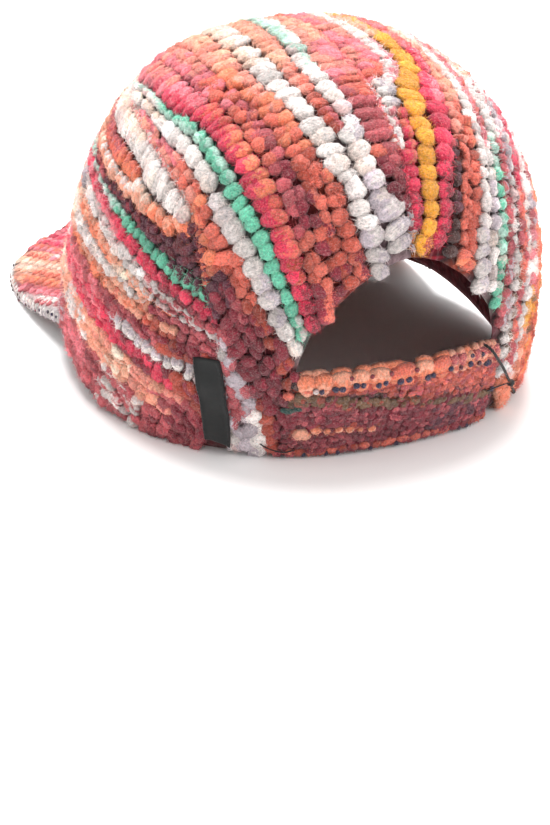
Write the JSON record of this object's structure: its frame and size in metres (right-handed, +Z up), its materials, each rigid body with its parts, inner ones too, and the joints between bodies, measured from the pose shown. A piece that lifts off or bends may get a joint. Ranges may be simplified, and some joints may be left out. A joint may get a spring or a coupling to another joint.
{
  "type": "five-panel cap",
  "caption": "Soft cap with a plain front panel, two side panels, two top panels, a curved brim and a half-moon opening over a back strap.",
  "frame": {"origin": "middle of the outline, on the surface that the cap stands on", "axes": "-Y towards the brim, +Y towards the back strap, +X towards the wearer's left, +Z up"},
  "size_m": [0.1844, 0.2612, 0.1372],
  "materials": {
    "striped_knit": "woolly, matt",
    "strap_knit": "woolly, matt",
    "black_ribbon": "satin",
    "black_cord": "matt"
  },
  "bodies": {
    "root": {"front_panel": "striped_knit", "side_panel_left": "striped_knit", "side_panel_right": "striped_knit", "back_panel_left": "striped_knit", "back_panel_right": "striped_knit", "brim": "striped_knit", "back_strap": "strap_knit", "side_label": "black_ribbon", "tie_cord": "black_cord"}
  },
  "joints": []
}
